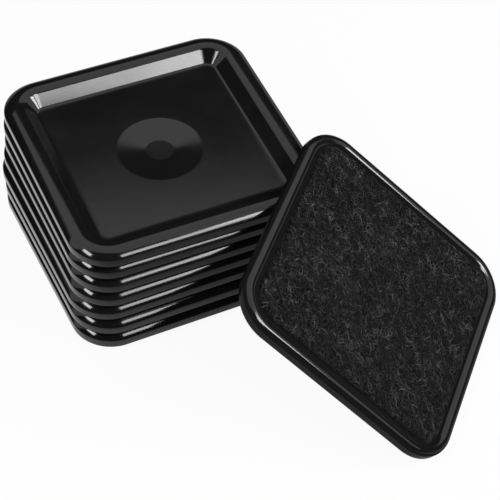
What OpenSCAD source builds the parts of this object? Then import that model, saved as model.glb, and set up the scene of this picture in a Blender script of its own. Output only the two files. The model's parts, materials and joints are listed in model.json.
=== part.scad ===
// A set of square furniture sliders: moulded cups with felt soles. Most are stacked
// cup upwards, and the last one leans on the stack upside down, showing its felt.
// Each slider is a cup, a felt pad and the film of adhesive between them.
// Millimetres, Z up. The origin is the middle of the lowest felt pad's face, on the ground.

/* [Cup] */
// Width of the square cup across its sides
cup_w = 102; // [92:1:130]
// Radius of the cup's outer corners, seen from above
corner_r = 16.5; // [12:0.5:24]
// Thickness of the floor plate
floor_t = 1.4; // [1.3:0.1:1.8]
// Depth of the recess for the furniture's foot, from the crest to the floor
recess_depth = 5.3; // [5:0.1:5.5]

/* [Rim] */
// Radius of the rim's outer shoulder
shoulder_r = 4.8; // [4.4:0.1:5]
// Radius of the outer edge under the rim
foot_r = 2; // [1.4:0.1:2.2]
// Width of the flat crest on top of the rim
crest_w = 0.5; // [0.3:0.1:0.8]
// Radius of the crest's inner edge
crest_r = 4.6; // [4:0.1:5]
// Slope of the recess's wall from the horizontal
wall_slope = 43; // [41:1:48]
// Radius between the wall and the floor
floor_fillet_r = 1.5; // [0.8:0.1:2]
// Width of the bead that runs round the underside
bead_w = 5.6; // [4.8:0.1:6]
// Radius of the bead's inner edge
bead_r = 0.5; // [0.3:0.1:0.6]

/* [Dimple] */
// Radius of the dimple at the floor
dimple_r = 16.8; // [12:0.2:22]
// Radius of the dimple's flat bottom
dimple_flat_r = 5.6; // [3:0.2:9]
// Depth of the dimple
dimple_depth = 0.9; // [0.5:0.1:0.9]

/* [Felt] */
// Thickness of the felt
felt_t = 1; // [1:0.1:1.6]
// How far the felt stands out below the bead
felt_proud = 0.5; // [0.2:0.1:0.5]
// Gap between the felt's edge and the bead
felt_gap = 1.5; // [0.6:0.1:1.6]
// Thickness of the adhesive film
glue_t = 0.1; // [0.1:0.05:0.3]
// Margin between the film's edge and the felt's edge
glue_margin = 0.6; // [0.2:0.1:2]

/* [Stack] */
// How far a slider may sit off the middle of the stack
stack_slack = 1.3; // [0:0.1:2]
// Twist of the stack from its bottom to its top, in degrees
stack_twist = -1.4; // [-3:0.1:3]

/* [Leaning slider] */
// Direction in which the leaning slider slopes down, in degrees from X
lean_heading = -44.2; // [-55:0.1:-35]
// How far its middle lies to the left of the corner that it leans on
lean_aside = 25.5; // [0:0.5:28]
// Gap between its rim and the rim that it leans on
lean_gap = 0.3; // [0.2:0.05:1]
// Gap between its lower edge and the ground
ground_gap = 0.05; // [0.02:0.01:0.2]

/* [Hidden] */
$fn = 96;
// Overrun of every cut past the face that it opens
over = 1;

half_w = cup_w / 2;
corner_at = half_w - corner_r;

// Heights in one slider, measured from its felt's face
ceiling_z = felt_t + glue_t;
floor_z = ceiling_z + floor_t;
crest_z = floor_z + recess_depth;
land_z = felt_proud;
rim_h = crest_z - land_z;
// A slider's felt lies on the rim of the slider below
pitch = crest_z;

// Distances from the middle of the cup to the section's edges
shoulder_u = half_w - shoulder_r;
crest_u = shoulder_u - crest_w;
bead_u = half_w - bead_w;
felt_half = bead_u - felt_gap;
glue_half = felt_half - glue_margin;

// The recess's wall runs straight between the crest's radius and the floor's fillet
round_drop = (crest_r + floor_fillet_r) * (1 - cos(wall_slope));
wall_run = (recess_depth - round_drop) / tan(wall_slope);
wall_top_u = crest_u - crest_r * sin(wall_slope);
wall_top_z = crest_z - crest_r * (1 - cos(wall_slope));
wall_foot_u = wall_top_u - wall_run;
wall_foot_z = floor_z + floor_fillet_r * (1 - cos(wall_slope));
floor_u = wall_foot_u - floor_fillet_r * sin(wall_slope);

// The rim's section reaches in under the floor's edge, where the floor plate joins it
rim_in_u = floor_u - floor_fillet_r;
// The dimple's side slopes evenly, and its cut runs on above the floor
dimple_run = (dimple_r - dimple_flat_r) / dimple_depth;
dimple_cut_r = dimple_r + over * dimple_run;

// Places in the stack, from the bottom up, as shares of the slack and of the twist
stack_x_shares = [0, -0.2, -0.55, 0.1, 0.55, 0.45, 0.55];
stack_y_shares = [0, 0, 0.6, 0.35, 0, -0.05, -1];
stack_turn_shares = [0, 0.05, 0.1, 0.3, 0.6, 0.9, 1];
stack_n = len(stack_turn_shares);

// The leaning slider's frame: outwards is down its slope, along is its lower edge
lean_out = [cos(lean_heading), sin(lean_heading)];
lean_along = [-lean_out.y, lean_out.x];
top_turn = stack_turn(stack_n);
top_corner = stack_shift(stack_n) + corner_at * [
    cos(top_turn) + sin(top_turn),
    sin(top_turn) - cos(top_turn)
];
// Its lower shoulder stands on the ground and its upper rim lies on the top slider's rim,
// so the heights of these two rounds give its tilt
lean_round = shoulder_r - crest_r;
lean_length = shoulder_u + crest_u;
lean_rise = stack_n * pitch + lean_gap - ground_gap - lean_round;
lean_tilt = asin(lean_rise / norm([lean_length, lean_round])) + atan(lean_round / lean_length);
lean_z = ground_gap + shoulder_r + shoulder_u * sin(lean_tilt)
    + (crest_z - shoulder_r) * cos(lean_tilt);
// The rims meet over the middle of the crest at the top slider's corner
lean_touch = top_corner * lean_out + corner_r - shoulder_r - crest_w / 2;
lean_reach = lean_touch + crest_u * cos(lean_tilt) + (crest_z - crest_r) * sin(lean_tilt);
lean_side = top_corner * lean_along - lean_aside;
lean_at = lean_reach * lean_out + lean_side * lean_along;

slider_n = stack_n + 1;

function stack_shift(k) = stack_slack * [stack_x_shares[k - 1], stack_y_shares[k - 1]];
function stack_turn(k) = stack_twist * stack_turn_shares[k - 1];

// Puts a slider in its place: stacked cup upwards, or leaning with its felt upwards
module place(k) {
    if (k <= stack_n) {
        translate([stack_shift(k).x, stack_shift(k).y, (k - 1) * pitch])
            rotate([0, 0, stack_turn(k)])
                children();
    } else {
        translate([lean_at.x, lean_at.y, lean_z])
            rotate([0, 0, lean_heading])
                rotate([0, lean_tilt, 0])
                    rotate([180, 0, 0])
                        children();
    }
}

// A square with round corners, about the origin
module round_square(half, r) {
    inner = half - r;
    square([2 * half, 2 * inner], center = true);
    square([2 * inner, 2 * half], center = true);
    for (x = [-inner, inner], y = [-inner, inner]) {
        translate([x, y])
            circle(r);
    }
}

// What a round of radius r takes off a square edge at the origin, towards -X and -Y
module edge_waste(r) {
    difference() {
        translate([-r, -r])
            square(r + over);
        translate([-r, -r])
            circle(r);
    }
}

// The space inside the rim's section: the recess with its sloping wall
module recess_section() {
    difference() {
        union() {
            polygon([
                [rim_in_u - over, crest_z + over],
                [rim_in_u - over, floor_z],
                [floor_u, floor_z],
                [wall_foot_u, wall_foot_z],
                [wall_top_u, wall_top_z],
                [crest_u, crest_z],
                [crest_u, crest_z + over]
            ]);
            translate([floor_u, floor_z + floor_fillet_r])
                circle(floor_fillet_r);
        }
        translate([crest_u, crest_z - crest_r])
            circle(crest_r);
    }
}

// The rim's section, X outwards from the cup's middle and Y up from the felt's face
module rim_section() {
    difference() {
        translate([rim_in_u, land_z])
            square([half_w - rim_in_u, rim_h]);
        translate([half_w, crest_z])
            edge_waste(shoulder_r);
        translate([half_w, land_z])
            mirror([0, 1])
                edge_waste(foot_r);
        translate([rim_in_u - over, land_z - over])
            square([bead_u - rim_in_u + over, ceiling_z - land_z + over]);
        translate([bead_u, land_z])
            mirror([1, 0])
                mirror([0, 1])
                    edge_waste(bead_r);
        recess_section();
    }
}

// Runs the rim's section round the cup: four straight sides and four turned corners.
// A corner turns what lies outside its centre, and the sides meet in a mitre inside it.
module rim() {
    for (turn = [0:90:270]) {
        rotate([0, 0, turn]) {
            translate([0, corner_at, 0])
                rotate([90, 0, 0])
                    linear_extrude(2 * corner_at)
                        rim_section();
            translate([corner_at, corner_at, 0])
                rotate_extrude(angle = 90)
                    intersection() {
                        translate([-corner_at, 0])
                            rim_section();
                        translate([0, land_z - over])
                            square([corner_r + over, rim_h + 2 * over]);
                    }
        }
    }
}

module floor_plate() {
    difference() {
        translate([0, 0, ceiling_z])
            linear_extrude(floor_t)
                square(2 * floor_u, center = true);
        translate([0, 0, floor_z - dimple_depth])
            cylinder(h = dimple_depth + over, r1 = dimple_flat_r, r2 = dimple_cut_r);
    }
}

module cup(k) {
    color("#19191a")
        place(k) {
            rim();
            floor_plate();
        }
}

module felt_pad(k) {
    color("#1d1d1e")
        place(k)
            linear_extrude(felt_t)
                round_square(felt_half, felt_half - corner_at);
}

module glue_film(k) {
    color("#d8d2bd")
        place(k)
            translate([0, 0, felt_t])
                linear_extrude(glue_t)
                    round_square(glue_half, glue_half - corner_at);
}

for (k = [1:slider_n]) {
    cup(k);
    felt_pad(k);
    glue_film(k);
}
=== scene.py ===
# %% [markdown]
# # A stack of furniture sliders
# Each slider is a glossy black cup for a furniture foot, with a felt sole underneath.
# Seven of them are stacked and the eighth leans on the stack, upside down.
# Their construction is loaded first, as a fixed frame: every piece that is made below is put where that
# frame says. All lengths are in metres, so `mm` keeps the sizes readable.

# %% Load the frame
import json
import math
import random

import bmesh
import bpy
from mathutils import Matrix, Vector, noise

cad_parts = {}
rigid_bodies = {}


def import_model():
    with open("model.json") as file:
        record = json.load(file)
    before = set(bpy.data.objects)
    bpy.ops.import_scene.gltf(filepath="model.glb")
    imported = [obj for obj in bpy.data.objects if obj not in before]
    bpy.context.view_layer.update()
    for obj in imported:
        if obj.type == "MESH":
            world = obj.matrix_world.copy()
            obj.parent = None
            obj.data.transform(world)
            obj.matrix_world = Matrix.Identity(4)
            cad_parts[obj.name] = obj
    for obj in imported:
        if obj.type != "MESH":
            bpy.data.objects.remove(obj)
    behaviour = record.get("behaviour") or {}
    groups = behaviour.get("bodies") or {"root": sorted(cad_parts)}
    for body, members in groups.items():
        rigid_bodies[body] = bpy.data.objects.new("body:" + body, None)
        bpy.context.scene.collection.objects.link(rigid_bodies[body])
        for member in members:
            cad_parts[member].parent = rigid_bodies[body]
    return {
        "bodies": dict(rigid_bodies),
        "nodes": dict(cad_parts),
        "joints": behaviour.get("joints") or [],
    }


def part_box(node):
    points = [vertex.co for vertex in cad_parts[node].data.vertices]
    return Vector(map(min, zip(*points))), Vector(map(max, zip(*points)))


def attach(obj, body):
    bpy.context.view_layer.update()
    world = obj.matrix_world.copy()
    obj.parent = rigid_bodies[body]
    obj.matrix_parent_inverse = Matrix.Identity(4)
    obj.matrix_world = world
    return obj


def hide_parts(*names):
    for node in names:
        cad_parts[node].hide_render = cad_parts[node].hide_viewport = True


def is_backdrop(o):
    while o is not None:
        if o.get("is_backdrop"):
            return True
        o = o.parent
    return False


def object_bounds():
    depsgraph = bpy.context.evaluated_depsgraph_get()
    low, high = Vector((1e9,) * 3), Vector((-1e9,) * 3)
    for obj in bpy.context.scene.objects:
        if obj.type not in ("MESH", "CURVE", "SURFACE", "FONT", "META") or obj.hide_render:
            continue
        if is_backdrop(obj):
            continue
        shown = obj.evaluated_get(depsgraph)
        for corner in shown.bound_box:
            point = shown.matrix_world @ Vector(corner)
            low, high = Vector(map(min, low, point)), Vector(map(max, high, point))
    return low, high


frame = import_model()
cad_low, cad_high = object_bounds()
mm = 0.001
scene = bpy.context.scene
print("nodes in the frame:", len(frame["nodes"]))

# %% [markdown]
# ## Camera
# The camera stands where the photographer stood: in front of the stack, a little to its left, and high up.
# A long lens keeps the far edges of the squares nearly as long as the near ones.
# It could be aimed with a constraint, but three plain angles are easier to read and to repeat.

# %% Camera
camera_place = Vector((-201.95, -474.39, 560.38)) * mm
camera_tilt = math.radians(42.0935)
camera_roll = math.radians(-1.8224)
camera_heading = math.radians(-25.2902)
lens_length = 133.62
sensor_width = 36

camera_data = bpy.data.cameras.new("camera")
camera_data.lens = lens_length
camera_data.sensor_width = sensor_width
camera = bpy.data.objects.new("camera", camera_data)
camera.location = camera_place
camera.rotation_euler = (camera_tilt, camera_roll, camera_heading)
scene.collection.objects.link(camera)
scene.camera = camera
print("camera at", tuple(round(c, 3) for c in camera_place))

# %% [markdown]
# ## Nodes by name
# Every finish below is a small network of shader nodes. The first three helpers empty such a network, add a
# node with its settings, and set the values of a node's sockets. The next two run several values through one
# operation and mix two shaders. So a material reads as a list of what it is made of.

# %% Node helpers
def new_tree(owner):
    owner.use_nodes = True
    owner.node_tree.nodes.clear()
    return owner.node_tree, owner.node_tree.links.new


def add_node(tree, kind, **settings):
    node = tree.nodes.new(kind)
    for name, value in settings.items():
        setattr(node, name, value)
    return node


def set_inputs(node, **values):
    # An underscore stands for a space: From_Min is the socket "From Min"
    for name, value in values.items():
        node.inputs[name.replace("_", " ")].default_value = value
    return node


def combine(tree, operation, sockets):
    result, *others = sockets
    for socket in others:
        both = add_node(tree, "ShaderNodeMath", operation=operation)
        tree.links.new(result, both.inputs[0])
        tree.links.new(socket, both.inputs[1])
        result = both.outputs[0]
    return result


def mix_shaders(tree, share, first, second):
    mix = add_node(tree, "ShaderNodeMixShader")
    for source, socket in zip((share, first, second), mix.inputs):
        tree.links.new(source, socket)
    return mix.outputs[0]


# %% [markdown]
# ## What all finishes share
# Plastic, felt and glue are built alike: a pattern chooses between a dark and a pale shade, and a pattern
# raises small bumps. One helper makes the pair of shades. The other adds the bumps and the output.

# %% Finish helpers
def add_tint(tree, pattern, dark, pale, low=0, high=1):
    tint = add_node(tree, "ShaderNodeValToRGB")
    ends = tint.color_ramp.elements
    ends[0].position = low
    ends[1].position = high
    ends[0].color = (*dark, 1)
    ends[1].color = (*pale, 1)
    tree.links.new(pattern, tint.inputs[0])
    return tint.outputs["Color"]


def finish_surface(tree, shader, colour, pattern, bump_strength, bump_height):
    bump = add_node(tree, "ShaderNodeBump")
    set_inputs(bump, Strength=bump_strength, Distance=bump_height)
    surface = add_node(tree, "ShaderNodeOutputMaterial")
    tree.links.new(pattern, bump.inputs["Height"])
    tree.links.new(bump.outputs["Normal"], shader.inputs["Normal"])
    tree.links.new(colour, shader.inputs["Base Color"])
    tree.links.new(shader.outputs[0], surface.inputs[0])


# %% [markdown]
# ## Surroundings
# Glossy black plastic has hardly any colour of its own: what the eye sees on it is the room.
# Here the room is a white ceiling with straight borders at the back, in front and on the right, and darkness
# below them. The borders are what draws the grey bands on the rims and the slope of grey on the floor of
# the top cup. Each one is the edge of a half of space, and the ceiling is what all three halves share.
# The camera itself sees plain white, and matt surfaces get an even light.

# %% World
back_half = Vector((-0.217, -0.689, 0.6915))
front_half = Vector((0.463, 0.823, 0.33))
right_half = Vector((-0.3665, 0, 0.9304))
border_softness = 0.02
ceiling_glow = 0.9
dark_glow = 0.015
even_light = 0.3
white = (1, 1, 1, 1)

world = bpy.data.worlds.new("studio")
scene.world = world
tree, link = new_tree(world)
direction = add_node(tree, "ShaderNodeTexCoord")
insides = []
for half in (back_half, front_half, right_half):
    facing = add_node(tree, "ShaderNodeVectorMath", operation="DOT_PRODUCT")
    facing.inputs[1].default_value = half
    border = add_node(tree, "ShaderNodeMapRange", interpolation_type="SMOOTHSTEP")
    set_inputs(border, From_Min=-border_softness, From_Max=border_softness)
    link(direction.outputs["Generated"], facing.inputs[0])
    link(facing.outputs["Value"], border.inputs["Value"])
    insides.append(border.outputs["Result"])
ceiling = add_node(tree, "ShaderNodeMapRange")
set_inputs(ceiling, To_Min=dark_glow, To_Max=ceiling_glow)
link(combine(tree, "MULTIPLY", insides), ceiling.inputs["Value"])

even = set_inputs(add_node(tree, "ShaderNodeBackground"), Color=white, Strength=even_light)
mirrored = set_inputs(add_node(tree, "ShaderNodeBackground"), Color=white)
plain = set_inputs(add_node(tree, "ShaderNodeBackground"), Color=white, Strength=1)
link(ceiling.outputs["Result"], mirrored.inputs["Strength"])
rays = add_node(tree, "ShaderNodeLightPath")
lighting = mix_shaders(tree, rays.outputs["Is Glossy Ray"], even.outputs[0], mirrored.outputs[0])
studio = mix_shaders(tree, rays.outputs["Is Camera Ray"], lighting, plain.outputs[0])
world_out = add_node(tree, "ShaderNodeOutputWorld")
link(studio, world_out.inputs[0])
scene.view_settings.view_transform = "Standard"
print("world made, with a ceiling of", len(insides), "borders")

# %% [markdown]
# ## Softboxes
# Four softboxes draw the bright streaks: two side by side in front, a flat one and a taller and brighter one,
# another further to the right and a flat one at the left. Each is an area light that is placed by its
# compass direction and its height in degrees, and by how wide and how tall it looks from the object.

# %% Softboxes
softbox_target = Vector((0, 0, 50 * mm))
softbox_distance = 1.2


def softbox(name, azimuth, elevation, wide, tall, brightness):
    # Azimuth 0 is behind the stack, at +Y, and 90 is at its right, at +X.
    # The brightness is in watts for each square metre of the light.
    compass = math.radians(azimuth)
    height = math.radians(elevation)
    level = math.cos(height)
    towards = Vector((math.sin(compass) * level, math.cos(compass) * level, math.sin(height)))
    data = bpy.data.lights.new(name, "AREA")
    data.shape = "RECTANGLE"
    data.size = 2 * softbox_distance * math.tan(math.radians(wide) / 2)
    data.size_y = 2 * softbox_distance * math.tan(math.radians(tall) / 2)
    data.energy = brightness * data.size * data.size_y
    lamp = bpy.data.objects.new(name, data)
    lamp.location = softbox_target + softbox_distance * towards
    lamp.rotation_euler = towards.to_track_quat("Z", "Y").to_euler()
    scene.collection.objects.link(lamp)
    print(name, "is %.2f by %.2f m" % (data.size, data.size_y))


softbox("flat_softbox", azimuth=162.8, elevation=48.5, wide=11.7, tall=8, brightness=32)
softbox("tall_softbox", azimuth=143.2, elevation=47, wide=14.3, tall=13, brightness=44)
softbox("right_softbox", azimuth=123, elevation=37, wide=16, tall=13, brightness=55)
softbox("left_softbox", azimuth=263, elevation=45, wide=18, tall=8, brightness=46)

# %% [markdown]
# ## Floor
# The set stands on a plain white table. To the camera and in reflections it glows white by itself, and a
# share of real shading stays in it, so that the sliders keep a faint shadow. In reflections the white is
# brightest at the left of the stack and fades away from there, because the front of the stack mirrors less
# of it in the photo.

# %% Floor
floor_drop = 0.2 * mm
floor_half = 4
table_grey = (0.9, 0.9, 0.9, 1)
shadow_share = 0.06
glow_middle = Vector((-70, 40, 0)) * mm
near_glow = 60 * mm
far_glow = 150 * mm
far_strength = 0.3

bm = bmesh.new()
bmesh.ops.create_grid(bm, x_segments=1, y_segments=1, size=floor_half)
bmesh.ops.translate(bm, vec=(0, 0, -floor_drop), verts=bm.verts)
floor_mesh = bpy.data.meshes.new("floor")
bm.to_mesh(floor_mesh)
bm.free()
floor = bpy.data.objects.new("floor", floor_mesh)
scene.collection.objects.link(floor)
floor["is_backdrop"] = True
print("floor is", 2 * floor_half, "m wide")

# %% [markdown]
# The table's finish asks what kind of ray has met it. A camera ray gets white with a little shading, a
# reflection gets the fading white, and any other ray finds a plain pale table.

# %% Floor finish
floor_white = bpy.data.materials.new("white_table")
tree, link = new_tree(floor_white)
place = add_node(tree, "ShaderNodeTexCoord")
reach = add_node(tree, "ShaderNodeVectorMath", operation="DISTANCE")
reach.inputs[1].default_value = glow_middle
fade = add_node(tree, "ShaderNodeMapRange", interpolation_type="SMOOTHSTEP")
set_inputs(fade, From_Min=near_glow, From_Max=far_glow, To_Min=1, To_Max=far_strength)
shaded = set_inputs(add_node(tree, "ShaderNodeBsdfDiffuse"), Color=table_grey)
glowing = set_inputs(add_node(tree, "ShaderNodeEmission"), Color=white, Strength=1)
mirrored = set_inputs(add_node(tree, "ShaderNodeEmission"), Color=white)
link(place.outputs["Object"], reach.inputs[0])
link(reach.outputs["Value"], fade.inputs["Value"])
link(fade.outputs["Result"], mirrored.inputs["Strength"])

rays = add_node(tree, "ShaderNodeLightPath")
glow_share = add_node(tree, "ShaderNodeMath", operation="MULTIPLY")
glow_share.inputs[1].default_value = 1 - shadow_share
link(rays.outputs["Is Camera Ray"], glow_share.inputs[0])
mirror_rays = combine(
    tree, "MAXIMUM", (rays.outputs["Is Glossy Ray"], rays.outputs["Is Transmission Ray"]))
seen = mix_shaders(tree, glow_share.outputs[0], shaded.outputs[0], glowing.outputs[0])
table = mix_shaders(tree, mirror_rays, seen, mirrored.outputs[0])
surface = add_node(tree, "ShaderNodeOutputMaterial")
link(table, surface.inputs[0])
floor_mesh.materials.append(floor_white)
print("floor finished")

# %% [markdown]
# ## Sizes of one slider
# All eight sliders come out of one mould. These are its sizes, measured from the middle of the felt's face:
# `u` runs outwards to the rim, and `z` runs up into the cup. The width comes from the frame.

# %% Sizes
lowest_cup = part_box("cup_1")
half_w = (lowest_cup[1].x - lowest_cup[0].x) / 2
corner_r = 16.5 * mm
corner_at = half_w - corner_r

floor_t = 1.4 * mm
land_z = lowest_cup[0].z
crest_z = lowest_cup[1].z
ceiling_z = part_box("glue_film_1")[1].z
floor_z = ceiling_z + floor_t

shoulder_r = 4.8 * mm
flank_r = 12 * mm
flank_from = math.radians(32)
flank_to = math.radians(44)
foot_r = 2.2 * mm
land_w = 0.5 * mm
crest_w = 0.5 * mm
crest_r = 4.6 * mm
wall_slope = math.radians(43)
floor_fillet_r = 1.5 * mm
bead_r = 3.2 * mm
bead_turn = math.radians(55)
groove_w = 0.2 * mm
print("slider is %.1f mm wide and %.1f mm high" % (2 * half_w / mm, crest_z / mm))

# %% [markdown]
# ## Drawing a section with a pen
# The rim could be a plain extrusion with bevels, but its look depends on every round being even, because each
# one bends a reflection. So its section is drawn like an outline on paper: straight strokes are extruded
# vertices, and rounds are spun vertices, which makes them true arcs.

# %% Section pen
def only(kind, geometry):
    return [g for g in geometry if isinstance(g, kind)]


class SectionPen:
    def __init__(self, bm, u, y, z):
        self.bm = bm
        self.vert = bm.verts.new((u, y, z))
        self.drawn = [self.vert]

    def line(self, u, z):
        self.vert = bmesh.ops.extrude_vert_indiv(self.bm, verts=[self.vert])["verts"][0]
        self.vert.co = (u, self.vert.co.y, z)
        self.drawn.append(self.vert)

    def arc(self, u, z, angle, steps):
        # A positive angle turns from upwards to outwards
        centre = (u, self.vert.co.y, z)
        for step in range(steps):
            turned = bmesh.ops.spin(
                self.bm, geom=[self.vert], cent=centre, axis=(0, 1, 0), angle=angle / steps, steps=1)
            self.vert = only(bmesh.types.BMVert, turned["geom_last"])[0]
            self.drawn.append(self.vert)

    def edges(self):
        drawn = set(self.drawn)
        return [e for e in self.bm.edges if set(e.verts) <= drawn]


# %% [markdown]
# ## The cup's rim
# From the floor's edge the pen climbs the sloping wall and rounds the crest. The shoulder is flatter in its
# middle than the frame's plain round, as the thin streak on it shows. Under the foot the pen rolls over a
# bead into the groove beside the felt, and it ends on the seat over the felt.

# %% Section of the rim
quarter = math.pi / 2


def draw_rim_section(bm):
    round_drop = (crest_r + floor_fillet_r) * (1 - math.cos(wall_slope))
    wall_run = (crest_z - floor_z - round_drop) / math.tan(wall_slope)
    shoulder_u = half_w - shoulder_r
    crest_u = shoulder_u - crest_w
    wall_top_u = crest_u - crest_r * math.sin(wall_slope)
    wall_top_z = crest_z - crest_r * (1 - math.cos(wall_slope))
    floor_u = wall_top_u - wall_run - floor_fillet_r * math.sin(wall_slope)
    flank_u = shoulder_u + (shoulder_r - flank_r) * math.sin(flank_from)
    flank_z = crest_z - shoulder_r + (shoulder_r - flank_r) * math.cos(flank_from)
    edge_r = (half_w - flank_u - flank_r * math.sin(flank_to)) / (1 - math.sin(flank_to))
    edge_z = flank_z + (flank_r - edge_r) * math.cos(flank_to)
    bead_u = half_w - foot_r - land_w
    groove_u = bead_u - bead_r * math.sin(bead_turn)
    groove_z = land_z + bead_r * (1 - math.cos(bead_turn))
    rim_in_u = floor_u - floor_fillet_r

    pen = SectionPen(bm, rim_in_u, -corner_at, floor_z)
    pen.line(floor_u, floor_z)
    pen.arc(floor_u, floor_z + floor_fillet_r, -wall_slope, steps=6)
    pen.line(wall_top_u, wall_top_z)
    pen.arc(crest_u, crest_z - crest_r, wall_slope, steps=12)
    pen.line(shoulder_u, crest_z)
    pen.arc(shoulder_u, crest_z - shoulder_r, flank_from, steps=10)
    pen.arc(flank_u, flank_z, flank_to - flank_from, steps=6)
    pen.arc(half_w - edge_r, edge_z, quarter - flank_to, steps=6)
    pen.line(half_w, land_z + foot_r)
    pen.arc(half_w - foot_r, land_z + foot_r, quarter, steps=8)
    pen.line(bead_u, land_z)
    pen.arc(bead_u, land_z + bead_r, bead_turn, steps=10)
    pen.line(groove_u - groove_w, groove_z)
    # The groove's inner side rises at 45 degrees to the seat
    pen.line(groove_u - groove_w - groove_z + ceiling_z, ceiling_z)
    pen.line(rim_in_u, ceiling_z)
    return pen.edges()


# %% [markdown]
# The section then runs round the square: it is extruded along each side and spun through a quarter turn at
# each corner. Where the last corner meets the first side, the doubled points are welded.

# %% Rim of the cup
corner_steps = 24
weld_distance = mm / 1000


def run_round_the_square(bm, edges):
    for side in range(4):
        turn = Matrix.Rotation(side * quarter, 3, "Z")
        grown = bmesh.ops.extrude_edge_only(bm, edges=edges)["geom"]
        verts = only(bmesh.types.BMVert, grown)
        bmesh.ops.translate(bm, vec=turn @ Vector((0, 2 * corner_at, 0)), verts=verts)
        ends = set(verts)
        edges = [e for e in only(bmesh.types.BMEdge, grown) if set(e.verts) <= ends]
        turned = bmesh.ops.spin(
            bm, geom=verts + edges, cent=turn @ Vector((corner_at, corner_at, 0)),
            axis=(0, 0, 1), angle=quarter, steps=corner_steps)
        edges = only(bmesh.types.BMEdge, turned["geom_last"])
    bmesh.ops.remove_doubles(bm, verts=bm.verts, dist=weld_distance)


# %% [markdown]
# ## The cup's floor
# The floor has a shallow round dimple, a cone with a flat middle whose edges are eased. It is drawn as a
# section too and spun through a full turn, with as many steps as the rim's inner edge has points.

# %% Dimple
dimple_r = 16.8 * mm
dimple_flat_r = 5.6 * mm
dimple_depth = 0.9 * mm
dimple_ease = 0.5 * mm
flat_ease = 0.4 * mm
dimple_steps = 4 * (corner_steps + 1)


def spin_dimple(bm):
    slope = math.atan2(dimple_depth, dimple_r - dimple_flat_r)
    outer_r = dimple_ease / math.tan(slope / 2)
    inner_r = flat_ease / math.tan(slope / 2)
    bottom_z = floor_z - dimple_depth
    pen = SectionPen(bm, 0, 0, bottom_z)
    pen.line(dimple_flat_r - flat_ease, bottom_z)
    pen.arc(dimple_flat_r - flat_ease, bottom_z + inner_r, -slope, steps=4)
    pen.line(dimple_r - dimple_ease * math.cos(slope), floor_z - dimple_ease * math.sin(slope))
    pen.arc(dimple_r + dimple_ease, floor_z - outer_r, slope, steps=6)
    pen.line(dimple_r + 2 * dimple_ease, floor_z)
    bmesh.ops.spin(
        bm, geom=pen.drawn + pen.edges(), cent=(0, 0, 0), axis=(0, 0, 1),
        angle=2 * math.pi, steps=dimple_steps, use_merge=True)
    bmesh.ops.remove_doubles(bm, verts=bm.verts, dist=weld_distance)


# %% [markdown]
# The flat floor between the dimple and the rim is filled, and so is the underside. The faces over the felt
# that look down are marked as the seat, because they get a finish of their own.

# %% Cup
same_height = mm / 100
looks_down = -0.1
sharp_angle = math.radians(50)
# The seat's matt plastic is the second material of the cup
seat_finish = 1


def open_edges(bm, z):
    return [e for e in bm.edges if e.is_boundary and all(abs(v.co.z - z) < same_height for v in e.verts)]


def make_cup_mesh():
    bm = bmesh.new()
    run_round_the_square(bm, draw_rim_section(bm))
    spin_dimple(bm)
    bmesh.ops.triangle_fill(bm, edges=open_edges(bm, floor_z), use_beauty=True)
    bmesh.ops.holes_fill(bm, edges=open_edges(bm, ceiling_z), sides=0)
    bmesh.ops.recalc_face_normals(bm, faces=bm.faces)
    bm.normal_update()
    for face in bm.faces:
        lowest = min(v.co.z for v in face.verts)
        if face.normal.z < looks_down and lowest > ceiling_z - same_height:
            face.material_index = seat_finish
    mesh = bpy.data.meshes.new("cup")
    bm.to_mesh(mesh)
    print("cup has %d faces and %d open edges" % (len(bm.faces), sum(e.is_boundary for e in bm.edges)))
    bm.free()
    mesh.shade_smooth()
    mesh.set_sharp_from_angle(angle=sharp_angle)
    return mesh


cup_mesh = make_cup_mesh()

# %% [markdown]
# ## Where each slider is
# A felt pad is the same from both ends, so the middle of its box in the frame is its middle, however it is
# turned. The stacked sliders are turned a little about the upright axis. The leaning one slopes
# down along the direction across its hinge, and the height of its pad's box gives its tilt.

# %% Places of the sliders
slider_n = len(frame["bodies"])
stack_n = slider_n - 1
stack_twist = math.radians(-1.4)
stack_turn_shares = (0, 0.05, 0.1, 0.3, 0.6, 0.9, 1)

lowest_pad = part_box("felt_pad_1")
felt_half = (lowest_pad[1].x - lowest_pad[0].x) / 2
felt_t = lowest_pad[1].z - lowest_pad[0].z
tip_axis = next(Vector(j["axis"]) for j in frame["joints"] if j["name"] == "tip_8")


def slider_turn(k):
    if k <= stack_n:
        return Matrix.Rotation(stack_twist * stack_turn_shares[k - 1], 4, "Z")
    low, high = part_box("felt_pad_%d" % k)
    diagonal = math.asin((high.z - low.z) / math.hypot(2 * felt_half, felt_t))
    tilt = diagonal - math.atan2(felt_t, 2 * felt_half)
    heading = math.atan2(-tip_axis.x, tip_axis.y)
    upside_down = Matrix.Rotation(math.pi, 4, "X")
    return Matrix.Rotation(heading, 4, "Z") @ Matrix.Rotation(tilt, 4, "Y") @ upside_down


def slider_place(k):
    low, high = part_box("felt_pad_%d" % k)
    middle = Matrix.Translation((low + high) / 2)
    return middle @ slider_turn(k) @ Matrix.Translation((0, 0, -felt_t / 2))


for k in range(1, slider_n + 1):
    print("slider", k, "at", tuple(round(c / mm, 2) for c in slider_place(k).translation))

# %% [markdown]
# ## Black plastic
# The cups are moulded in black plastic with a polished surface. The colour is nearly black, and the gloss
# does the rest. A faint cloudiness in the gloss and a waviness far too small to see keep the reflections
# from looking like those of a perfect mirror. The seat over the felt is left unpolished, so it has a second,
# matt finish of the same kind.

# %% Plastic
deep_black = (0.0065, 0.0065, 0.0068)
pale_black = (0.0085, 0.0085, 0.0088)
thin_cloud = 0.3
thick_cloud = 0.7
wave_strength = 0.1


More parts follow.
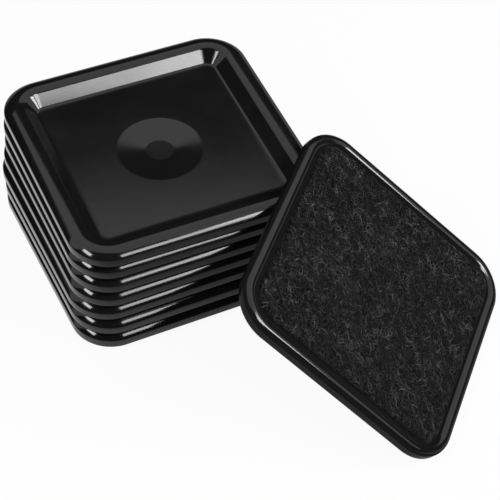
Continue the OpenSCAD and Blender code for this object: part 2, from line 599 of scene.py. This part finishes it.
def make_plastic(name, shine, smoothest, roughest, wave_height):
    material = bpy.data.materials.new(name)
    tree, link = new_tree(material)
    place = add_node(tree, "ShaderNodeTexCoord")
    clouds = set_inputs(add_node(tree, "ShaderNodeTexNoise"), Scale=70, Detail=4)
    waves = set_inputs(add_node(tree, "ShaderNodeTexNoise"), Scale=130, Detail=1)
    gloss = add_node(tree, "ShaderNodeMapRange")
    set_inputs(gloss, From_Min=thin_cloud, From_Max=thick_cloud, To_Min=smoothest, To_Max=roughest)
    plastic = set_inputs(add_node(tree, "ShaderNodeBsdfPrincipled"), IOR=1.5, Specular_IOR_Level=shine)
    link(place.outputs["Object"], clouds.inputs["Vector"])
    link(place.outputs["Object"], waves.inputs["Vector"])
    link(clouds.outputs["Fac"], gloss.inputs["Value"])
    link(gloss.outputs["Result"], plastic.inputs["Roughness"])
    colour = add_tint(tree, clouds.outputs["Fac"], deep_black, pale_black)
    finish_surface(tree, plastic, colour, waves.outputs["Fac"], wave_strength, wave_height)
    return material


polished = make_plastic(
    "polished_black_plastic", shine=0.5, smoothest=0.08, roughest=0.12, wave_height=0.02 * mm)
matt = make_plastic(
    "matt_black_plastic", shine=0.08, smoothest=0.7, roughest=0.85, wave_height=0.2 * mm)
print("plastics:", polished.name, matt.name)

# %% [markdown]
# ## Eight cups
# The one mesh is copied for each slider, and its place goes into the copy's vertices, so that every object
# sits at the origin. Each cup rides on its slider's body and stands for the plain solid of the frame.

# %% Cups
def put_piece(name, mesh, k, node):
    mesh.transform(slider_place(k))
    piece = bpy.data.objects.new(name, mesh)
    scene.collection.objects.link(piece)
    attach(piece, "slider_%d" % k)
    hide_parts(node)
    return piece


for material in (polished, matt):
    cup_mesh.materials.append(material)
for k in range(1, slider_n + 1):
    put_piece("moulded_cup_%d" % k, cup_mesh.copy(), k, "cup_%d" % k)
print("cups placed:", slider_n)

# %% [markdown]
# ## Felt
# The sole is needled felt, a mat of charcoal fibres. It could be a flat slab with a picture of fibres on it,
# but the loose ones stand out in the light, so they are modelled. The slab itself gets an uneven
# face and a soft edge, and it spreads a little further towards the bead than the frame's plain slab.

# %% Felt slab
felt_cells = 60
felt_spread = 1 * mm
sole_half = felt_half + felt_spread
felt_corner_r = sole_half - corner_at
felt_corner_cuts = 10
cut_tolerance = mm / 10000
rim_angle = math.radians(60)
felt_edge_r = 0.3 * mm
felt_edge_t = 0.1 * mm
felt_droop = 0.8 * mm
felt_droop_run = 2 * mm
felt_hollow = 0.05 * mm
felt_unevenness = 0.04 * mm
broad_lumps_per_m = 120
close_lumps_per_m = 420
close_share = 0.6


def felt_sink(at):
    # The cut edge of the felt is pressed down into its seat
    outside = [max(0, abs(c) - corner_at) for c in at.xy]
    inset = felt_corner_r - math.hypot(*outside)
    share = max(0, 1 - inset / felt_droop_run)
    return felt_droop * share ** 2


def cut_felt_corners(bm):
    for corner in range(4):
        centre = Matrix.Rotation(corner * quarter, 3, "Z") @ Vector((corner_at, corner_at, 0))
        for cut in range(felt_corner_cuts):
            angle = quarter * (corner + (cut + 0.5) / felt_corner_cuts)
            outwards = Vector((math.cos(angle), math.sin(angle), 0))
            bmesh.ops.bisect_plane(
                bm, geom=bm.verts[:] + bm.edges[:] + bm.faces[:], dist=cut_tolerance,
                plane_co=centre + felt_corner_r * outwards, plane_no=outwards, clear_outer=True)


def make_felt_slab(bm):
    bmesh.ops.create_grid(bm, x_segments=felt_cells, y_segments=felt_cells, size=sole_half)
    cut_felt_corners(bm)
    grown = bmesh.ops.extrude_face_region(bm, geom=bm.faces[:], use_keep_orig=True)["geom"]
    bmesh.ops.translate(bm, vec=(0, 0, felt_t), verts=only(bmesh.types.BMVert, grown))
    bmesh.ops.recalc_face_normals(bm, faces=bm.faces)
    bm.normal_update()
    rim = [
        e for e in bm.edges
        if e.calc_face_angle(0) > rim_angle and all(v.co.z < felt_t / 2 for v in e.verts)]
    bmesh.ops.bevel(
        bm, geom=rim, offset=felt_edge_r, segments=3, profile=0.5, affect="EDGES", material=-1)
    for v in bm.verts:
        if v.co.z < felt_t / 2:
            uneven = noise.noise(v.co * broad_lumps_per_m)
            uneven += close_share * noise.noise(v.co * close_lumps_per_m)
            v.co.z += felt_hollow + felt_unevenness * uneven + felt_sink(v.co)
            v.co.z = min(v.co.z, felt_t - felt_edge_t)


# %% [markdown]
# ## Loose fibres
# Each fibre is a thin curve that wanders over the face and changes its heading at every step. More of them
# lie where the mat is loose: for every third fibre or so two places are drawn, and the looser one is taken.

# %% Fibre
fibre_margin = 0.8 * mm
fibre_points = 5
fibre_reach = sole_half - fibre_margin
place_counts = (1, 1, 2)
loose_patches_per_m = 70
curl_spread = 0.5
wander_spread = 0.25
shortest_step = 0.4 * mm
longest_step = 1.3 * mm
fibre_lift = 0.12 * mm
lift_range = (0.2, 1.2)
buried_share = 0.4
thickness_range = (0.6, 1.2)
tip_share = 0.35


def looseness(at):
    return noise.noise(at * loose_patches_per_m)


def fibre_start(draw):
    places = []
    for i in range(draw.choice(place_counts)):
        x = draw.uniform(-fibre_reach, fibre_reach)
        y = draw.uniform(-fibre_reach, fibre_reach)
        places.append(Vector((x, y, 0)))
    return max(places, key=looseness)


def add_fibre(curve, draw):
    at = fibre_start(draw)
    heading = draw.uniform(0, 2 * math.pi)
    curl = draw.gauss(0, curl_spread)
    step = draw.uniform(shortest_step, longest_step)
    spline = curve.splines.new("POLY")
    spline.points.add(fibre_points - 1)
    for i, point in enumerate(spline.points):
        rise = math.sin(math.pi * i / (fibre_points - 1))
        at.z = felt_sink(at) - fibre_lift * (rise * draw.uniform(*lift_range) - buried_share)
        point.co = (*at, 1)
        point.radius = draw.uniform(*thickness_range) * (tip_share + (1 - tip_share) * rise)
        heading += curl + draw.gauss(0, wander_spread)
        if all(abs(c) < fibre_reach for c in at.xy):
            at += step * Vector((math.cos(heading), math.sin(heading), 0))
        else:
            # A fibre that has left the face turns back to its middle
            at -= step * Vector((at.x, at.y, 0)).normalized()


# %% [markdown]
# One curve object holds all fibres of a kind, gets its thickness from a bevel, and is then made into a mesh.

# %% Fibres of one kind
fibre_r = 0.033 * mm


def make_fibre_mesh(count, seed, kind):
    draw = random.Random(seed)
    curve = bpy.data.curves.new("fibres", "CURVE")
    curve.dimensions = "3D"
    curve.bevel_depth = fibre_r
    curve.bevel_resolution = 0
    for i in range(count):
        add_fibre(curve, draw)
    holder = bpy.data.objects.new("fibres", curve)
    scene.collection.objects.link(holder)
    depsgraph = bpy.context.evaluated_depsgraph_get()
    mesh = bpy.data.meshes.new_from_object(holder.evaluated_get(depsgraph))
    bpy.data.objects.remove(holder)
    for face in mesh.polygons:
        face.material_index = kind
    return mesh


# %% [markdown]
# ## Felt finish
# Felt is fibres lying in every direction. Three stretched noise patterns, each turned by a third of a half
# circle, give the mat its grain. The loose fibres are paler, and the grain varies their shade.

# %% Grain of the felt
grain_turns = 3
grain_start = 0.2
grain_stretch = (1, 0.22, 1)


def matted_grain():
    group = bpy.data.node_groups.new("matted_grain", "ShaderNodeTree")
    group.interface.new_socket("Vector", in_out="INPUT", socket_type="NodeSocketVector")
    group.interface.new_socket("Fineness", in_out="INPUT", socket_type="NodeSocketFloat")
    group.interface.new_socket("Grain", in_out="OUTPUT", socket_type="NodeSocketFloat")
    inside = add_node(group, "NodeGroupInput")
    outside = add_node(group, "NodeGroupOutput")
    patterns = []
    for turn in range(grain_turns):
        turned = add_node(group, "ShaderNodeMapping")
        angle = turn * math.pi / grain_turns + grain_start
        set_inputs(turned, Rotation=(0, 0, angle), Scale=grain_stretch)
        streaks = set_inputs(add_node(group, "ShaderNodeTexNoise"), Detail=3, Distortion=0.6)
        group.links.new(inside.outputs["Vector"], turned.inputs["Vector"])
        group.links.new(turned.outputs[0], streaks.inputs["Vector"])
        group.links.new(inside.outputs["Fineness"], streaks.inputs["Scale"])
        patterns.append(streaks.outputs["Fac"])
    group.links.new(combine(group, "MAXIMUM", patterns), outside.inputs["Grain"])
    return group


grain_group = matted_grain()
print("grain made of", grain_turns, "patterns")

# %% [markdown]
# The mat and both kinds of fibre share this grain. They differ in their two shades, in how fine the
# grain is and in how high it stands.

# %% Felt materials
def make_felt(name, dark, pale, low, high, fineness, bump_height):
    material = bpy.data.materials.new(name)
    tree, link = new_tree(material)
    place = add_node(tree, "ShaderNodeTexCoord")
    grain = add_node(tree, "ShaderNodeGroup", node_tree=grain_group)
    set_inputs(grain, Fineness=fineness)
    felt = add_node(tree, "ShaderNodeBsdfPrincipled")
    set_inputs(felt, Roughness=0.95, Specular_IOR_Level=0.05)
    link(place.outputs["Object"], grain.inputs["Vector"])
    colour = add_tint(tree, grain.outputs["Grain"], dark, pale, low, high)
    finish_surface(tree, felt, colour, grain.outputs["Grain"], bump_strength=1, bump_height=bump_height)
    return material


felt_mats = (
    make_felt(
        "charcoal_felt", dark=(0.002, 0.002, 0.0021), pale=(0.032, 0.032, 0.0325),
        low=0.52, high=0.75, fineness=2000, bump_height=0.25 * mm),
    make_felt(
        "charcoal_fibre", dark=(0.04, 0.04, 0.0404), pale=(0.22, 0.22, 0.222),
        low=0.5, high=0.75, fineness=300, bump_height=0.02 * mm),
    make_felt(
        "pale_fibre", dark=(0.1, 0.1, 0.101), pale=(0.6, 0.6, 0.603),
        low=0.5, high=0.75, fineness=300, bump_height=0.02 * mm))
print("felt finishes:", [m.name for m in felt_mats])

# %% [markdown]
# ## Eight felt soles
# The slab, its charcoal fibres and a few pale ones become one piece. Only the leaning slider shows its sole,
# so that one gets most of the fibres.

# %% Soles
fibres_shown = (4900, 800)
fibres_hidden = (400, 40)
seeds_per_sole = 10


def make_sole_mesh(k, counts):
    bm = bmesh.new()
    make_felt_slab(bm)
    # The slab keeps the first felt finish, and each kind of fibre gets the next one
    for kind, count in enumerate(counts, start=1):
        bm.from_mesh(make_fibre_mesh(count, seeds_per_sole * k + kind, kind))
    for face in bm.faces:
        face.smooth = True
    mesh = bpy.data.meshes.new("felt_sole_%d" % k)
    bm.to_mesh(mesh)
    bm.free()
    for material in felt_mats:
        mesh.materials.append(material)
    return mesh


for k in range(1, slider_n + 1):
    sole_mesh = make_sole_mesh(k, fibres_shown if k == slider_n else fibres_hidden)
    sole = put_piece("felt_sole_%d" % k, sole_mesh, k, "felt_pad_%d" % k)
    print(sole.name, len(sole.data.polygons), "faces")

# %% [markdown]
# ## Glue films
# A thin film of adhesive holds each sole in its cup. It keeps the frame's own solid, because nothing but its
# edge can ever be seen, and gets a cloudy, slightly yellow finish.

# %% Glue
def make_glue():
    material = bpy.data.materials.new("cloudy_adhesive")
    tree, link = new_tree(material)
    place = add_node(tree, "ShaderNodeTexCoord")
    clouds = set_inputs(add_node(tree, "ShaderNodeTexNoise"), Scale=220, Detail=3)
    film = set_inputs(add_node(tree, "ShaderNodeBsdfPrincipled"), Roughness=0.45)
    link(place.outputs["Object"], clouds.inputs["Vector"])
    haze = clouds.outputs["Fac"]
    colour = add_tint(tree, haze, dark=(0.48, 0.45, 0.35), pale=(0.62, 0.59, 0.49))
    finish_surface(tree, film, colour, haze, bump_strength=0.5, bump_height=0.05 * mm)
    return material


glue = make_glue()
for k in range(1, slider_n + 1):
    film = frame["nodes"]["glue_film_%d" % k]
    film.data.materials.clear()
    film.data.materials.append(glue)
print("glue films finished:", slider_n)

# %% [markdown]
# ## The object's size
# The dressed object's box is set beside its construction's, and how far it grew at each end is printed.
# The dressed object has to stay as large as its construction.

# %% Size
low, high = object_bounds()
for end, growth in (("low", cad_low - low), ("high", high - cad_high)):
    print("box grew at its", end, "end by", [round(c / mm, 2) for c in growth], "mm")
